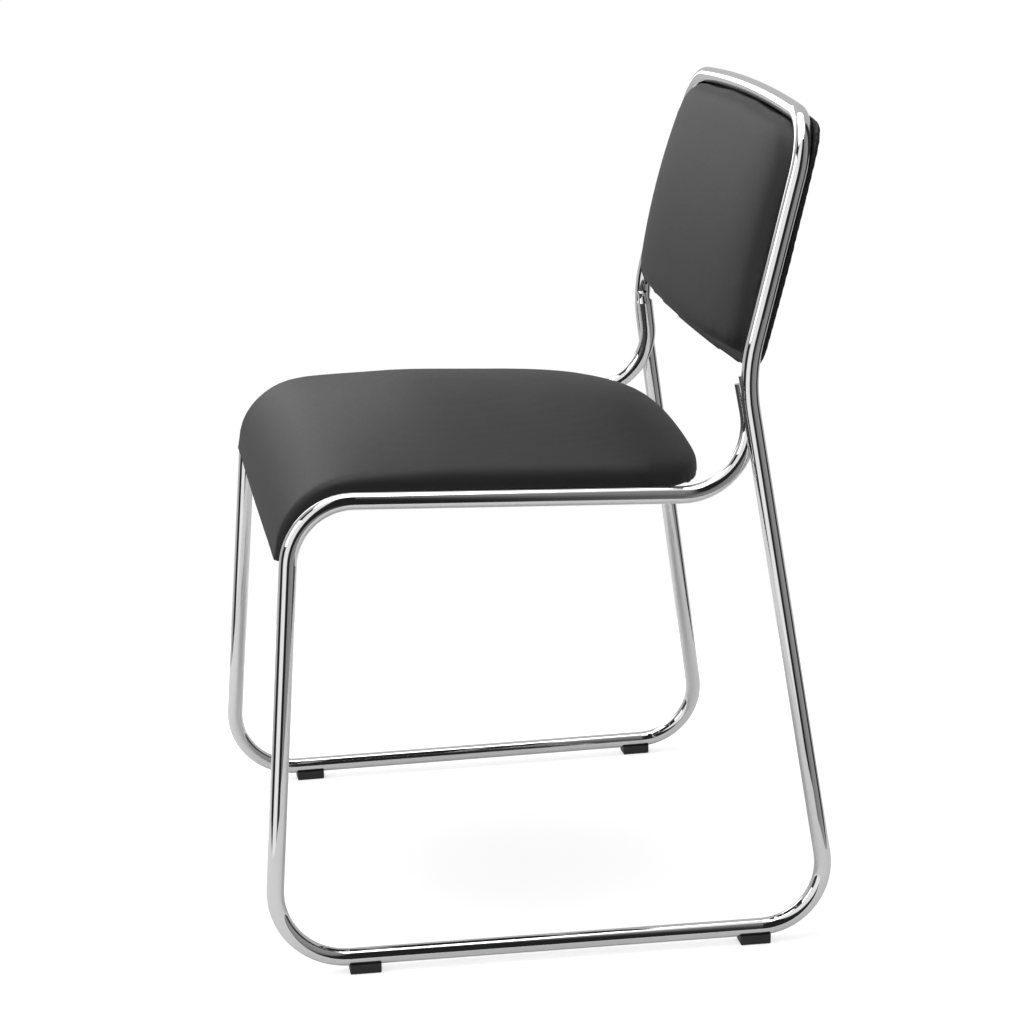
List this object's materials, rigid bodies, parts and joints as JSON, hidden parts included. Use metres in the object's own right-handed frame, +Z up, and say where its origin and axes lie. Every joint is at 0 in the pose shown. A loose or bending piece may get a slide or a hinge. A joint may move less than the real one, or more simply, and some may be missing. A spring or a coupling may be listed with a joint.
{
  "type": "sled base visitor chair",
  "caption": "Visitor chair on a bent chrome tube frame with sled runners, an upholstered seat with a rolled front edge and a padded back held between the uprights.",
  "frame": {"origin": "on the floor, under the middle of the chair's outline", "axes": "+Z up, +X to the sitter's left, the seat faces -Y, and X is the symmetry axis"},
  "size_m": [0.5208, 0.5296, 0.7784],
  "materials": {
    "frame_chrome": "polished",
    "plain_steel": "satin",
    "screw_steel": "satin",
    "board": "matte",
    "padding": "matte",
    "leatherette": "satin",
    "foot_plastic": "matte",
    "clip_plastic": "matte"
  },
  "bodies": {
    "root": {"back_board": "board", "back_cover": "leatherette", "back_foam": "padding", "back_loop_tube": "frame_chrome", "back_screws": "screw_steel", "back_tabs_left": "plain_steel", "back_tabs_right": "plain_steel", "foot_front_left": "foot_plastic", "foot_front_right": "foot_plastic", "foot_rear_left": "foot_plastic", "foot_rear_right": "foot_plastic", "foot_screws": "screw_steel", "joint_sleeve_left": "plain_steel", "joint_sleeve_right": "plain_steel", "panel_clips": "clip_plastic", "rail_end_cap_left": "frame_chrome", "rail_end_cap_right": "frame_chrome", "rail_weld_left": "frame_chrome", "rail_weld_right": "frame_chrome", "rear_board": "board", "rear_cover": "leatherette", "rear_foam": "padding", "seat_bar_front": "plain_steel", "seat_bar_rear": "plain_steel", "seat_board": "board", "seat_cover": "leatherette", "seat_foam": "padding", "seat_screws": "screw_steel", "side_tube_left": "frame_chrome", "side_tube_right": "frame_chrome"}
  },
  "joints": []
}
